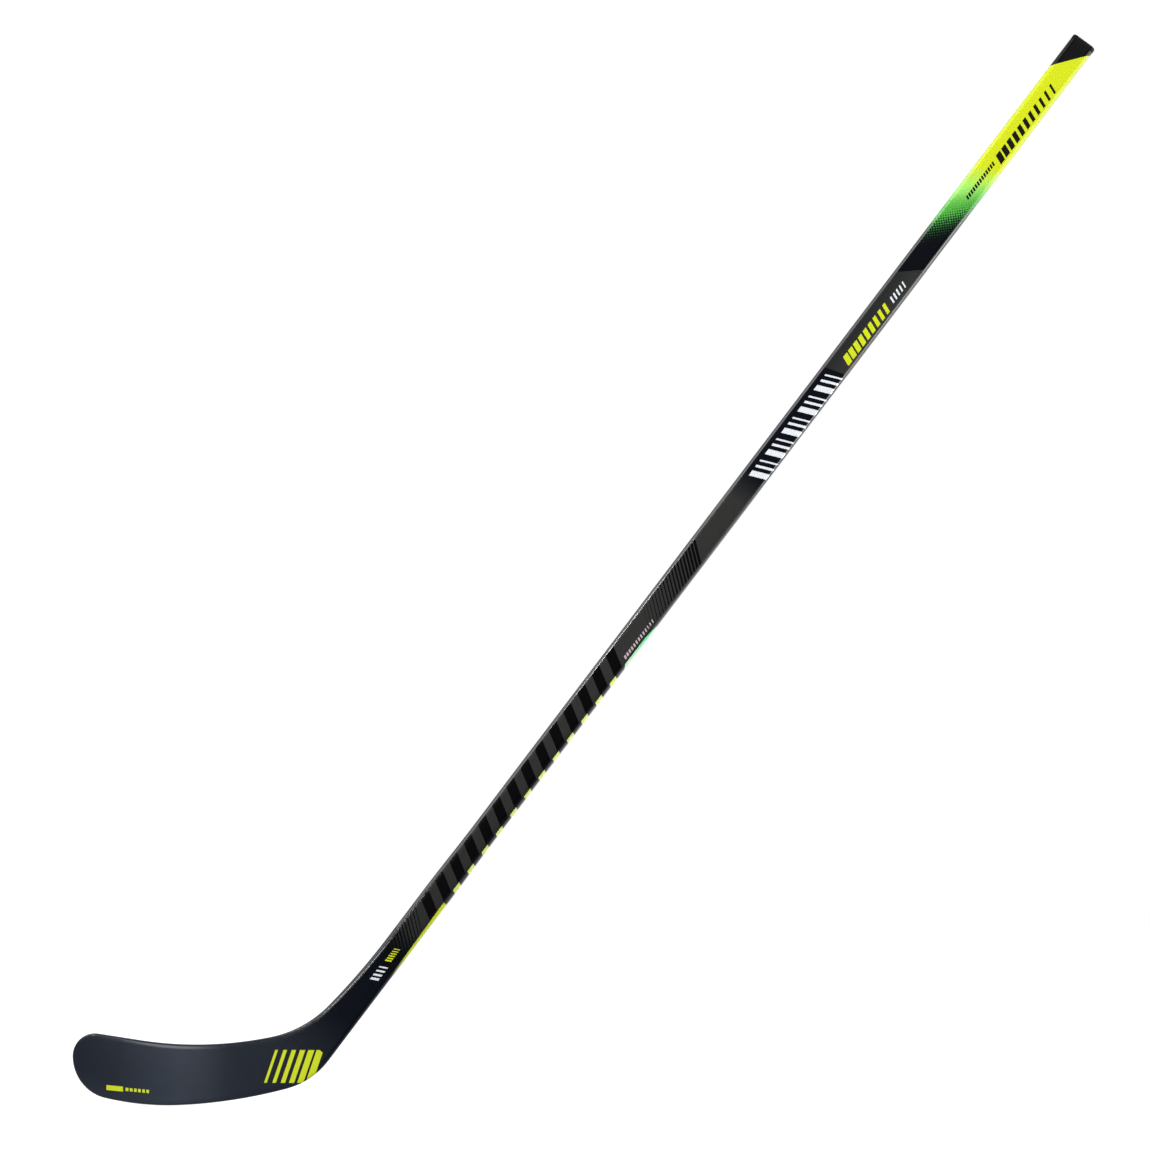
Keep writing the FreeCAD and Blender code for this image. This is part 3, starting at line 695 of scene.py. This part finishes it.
def white_ground(name, near=1.0, far=1.0, reach=1.0):
    """White to the camera and in gloss and glass; its own glow gives way to light and shadow nearby."""
    material = bpy.data.materials.new(name)
    material.use_nodes = True
    tree = material.node_tree
    tree.nodes.clear()
    paper = tree.nodes.new("ShaderNodeBsdfDiffuse")
    paper.inputs["Color"].default_value = grey(PAPER)
    glow = tree.nodes.new("ShaderNodeEmission")
    point = tree.nodes.new("ShaderNodeTexCoord").outputs["Object"]
    length = tree.nodes.new("ShaderNodeVectorMath")
    length.operation = "LENGTH"
    tree.links.new(point, length.inputs[0])
    level = Value(tree, length.outputs["Value"]).ramp(reach * GLOW_START, reach) * (far - near) + near
    feed(tree, level, glow.inputs["Strength"])
    path = tree.nodes.new("ShaderNodeLightPath")
    mirrored = Value(tree, path.outputs["Is Glossy Ray"]).math(
        "MAXIMUM", Value(tree, path.outputs["Is Transmission Ray"]))
    depth = tree.nodes.new("ShaderNodeSeparateXYZ")
    tree.links.new(point, depth.inputs[0])
    behind = Value(tree, depth.outputs["Y"]).ramp(*BEHIND)
    seen = Value(tree, path.outputs["Is Camera Ray"]).math("MAXIMUM", mirrored * behind)
    both = tree.nodes.new("ShaderNodeAddShader")
    tree.links.new(paper.outputs[0], both.inputs[0])
    tree.links.new(glow.outputs[0], both.inputs[1])
    choice = tree.nodes.new("ShaderNodeMixShader")
    feed(tree, seen, choice.inputs[0])
    dusk = tree.nodes.new("ShaderNodeBsdfDiffuse")
    dusk.inputs["Color"].default_value = grey(DUSK)
    tree.links.new(dusk.outputs[0], choice.inputs[1])
    tree.links.new(both.outputs[0], choice.inputs[2])
    output = tree.nodes.new("ShaderNodeOutputMaterial")
    tree.links.new(choice.outputs[0], output.inputs[0])
    return material


def stage_sheet(name, corners, material):
    mesh = bpy.data.meshes.new(name)
    mesh.from_pydata(corners, [], [(0, 1, 2, 3)])
    mesh.materials.append(material)
    sheet = bpy.data.objects.new(name, mesh)
    bpy.context.scene.collection.objects.link(sheet)


def studio_world():
    world = bpy.data.worlds.new("studio")
    bpy.context.scene.world = world
    world.use_nodes = True
    tree = world.node_tree
    path = tree.nodes.new("ShaderNodeLightPath")
    strength = Value(tree, path.outputs["Is Camera Ray"]) * (1 - WORLD_FILL) + WORLD_FILL
    tree.nodes["Background"].inputs["Color"].default_value = grey(1)
    feed(tree, strength, tree.nodes["Background"].inputs["Strength"])


def softbox(name, spot, width, height, power, target=CENTRE):
    light = bpy.data.lights.new(name, "AREA")
    light.shape = "RECTANGLE"
    light.size = width
    light.size_y = height
    light.energy = power
    item = bpy.data.objects.new(name, light)
    item.location = spot
    item.rotation_euler = (target - Vector(spot)).to_track_quat("-Z", "Y").to_euler()
    item.visible_camera = False
    bpy.context.scene.collection.objects.link(item)


def camera():
    """In front of the wide face, swung round the shaft towards its outer side."""
    data = bpy.data.cameras.new("camera")
    data.sensor_width = 36.0
    data.lens = data.sensor_width * CAMERA_DISTANCE / VIEW_WIDTH
    item = bpy.data.objects.new("camera", data)
    swing = Quaternion(UP, SWING)
    item.location = CENTRE + swing @ Vector((0, -CAMERA_DISTANCE, 0))
    item.rotation_euler = (swing @ Euler((math.radians(90), 0, 0)).to_quaternion()).to_euler()
    bpy.context.scene.collection.objects.link(item)
    bpy.context.scene.camera = item


# ---------------------------------------------------------------- the scene

finish_cad_nodes()

shaft = shaft_shell()
shaft.data.materials.append(MATERIALS["shaft_laminate"])
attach(shaft, "stick")
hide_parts("shaft_tube", "joint_filler_ring")

blade = blade_shell()
blade.data.materials.append(MATERIALS["blade_laminate"])
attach(blade, "stick")
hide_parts("blade_skin_backhand", "blade_skin_forehand")

FLOOR, ICE = 25.0, -0.0005
WALL, WALL_FOOT, WALL_TOP = 150.0, -1.0, 60.0
stage_sheet("floor", [(-FLOOR, -FLOOR, ICE), (FLOOR, -FLOOR, ICE), (FLOOR, FLOOR, ICE), (-FLOOR, FLOOR, ICE)],
            white_ground("floor_paper", GLOW, 1.0, 2.4))
stage_sheet("wall", [(-WALL, FLOOR, WALL_FOOT), (WALL, FLOOR, WALL_FOOT),
                     (WALL, FLOOR, WALL_TOP), (-WALL, FLOOR, WALL_TOP)],
            white_ground("wall_paper"))
studio_world()
BOX, BOX_RISE, BOX_ASIDE = 1.8, UP * 0.766 * 3.6, THROUGH * 0.643 * 3.6
softbox("main_box", CENTRE + BOX_RISE - BOX_ASIDE, BOX, BOX, 70)
softbox("back_box", CENTRE + BOX_RISE + BOX_ASIDE, BOX, BOX, 135)
softbox("low_left_box", (-0.78, -2.9, 0.15), 0.4, 0.35, 8, Vector((0.0, 0, 0.05)))
softbox("left_box", CENTRE - OUT * 2.5 - THROUGH * 0.7, 2.0, 2.2, 60)
softbox("right_box", (2.6, -0.3, 0.35), 2.0, 1.8, 31)
softbox("low_right_box", (1.6, -0.05, 0.35), 0.4, 0.6, 6.5, shaft_point(275, 15, 0))
softbox("strip_box", CENTRE - OUT * 2.01 - THROUGH * 1.49 - UP * 0.028, 0.15, 0.24, 13)
softbox("hosel_strip_box", CENTRE - OUT * 1.23 - THROUGH * 2.18 - UP * 0.845, 0.15, 0.3, 12,
        shaft_point(190, 0, 0))
camera()
bpy.context.scene.view_settings.view_transform = "Standard"
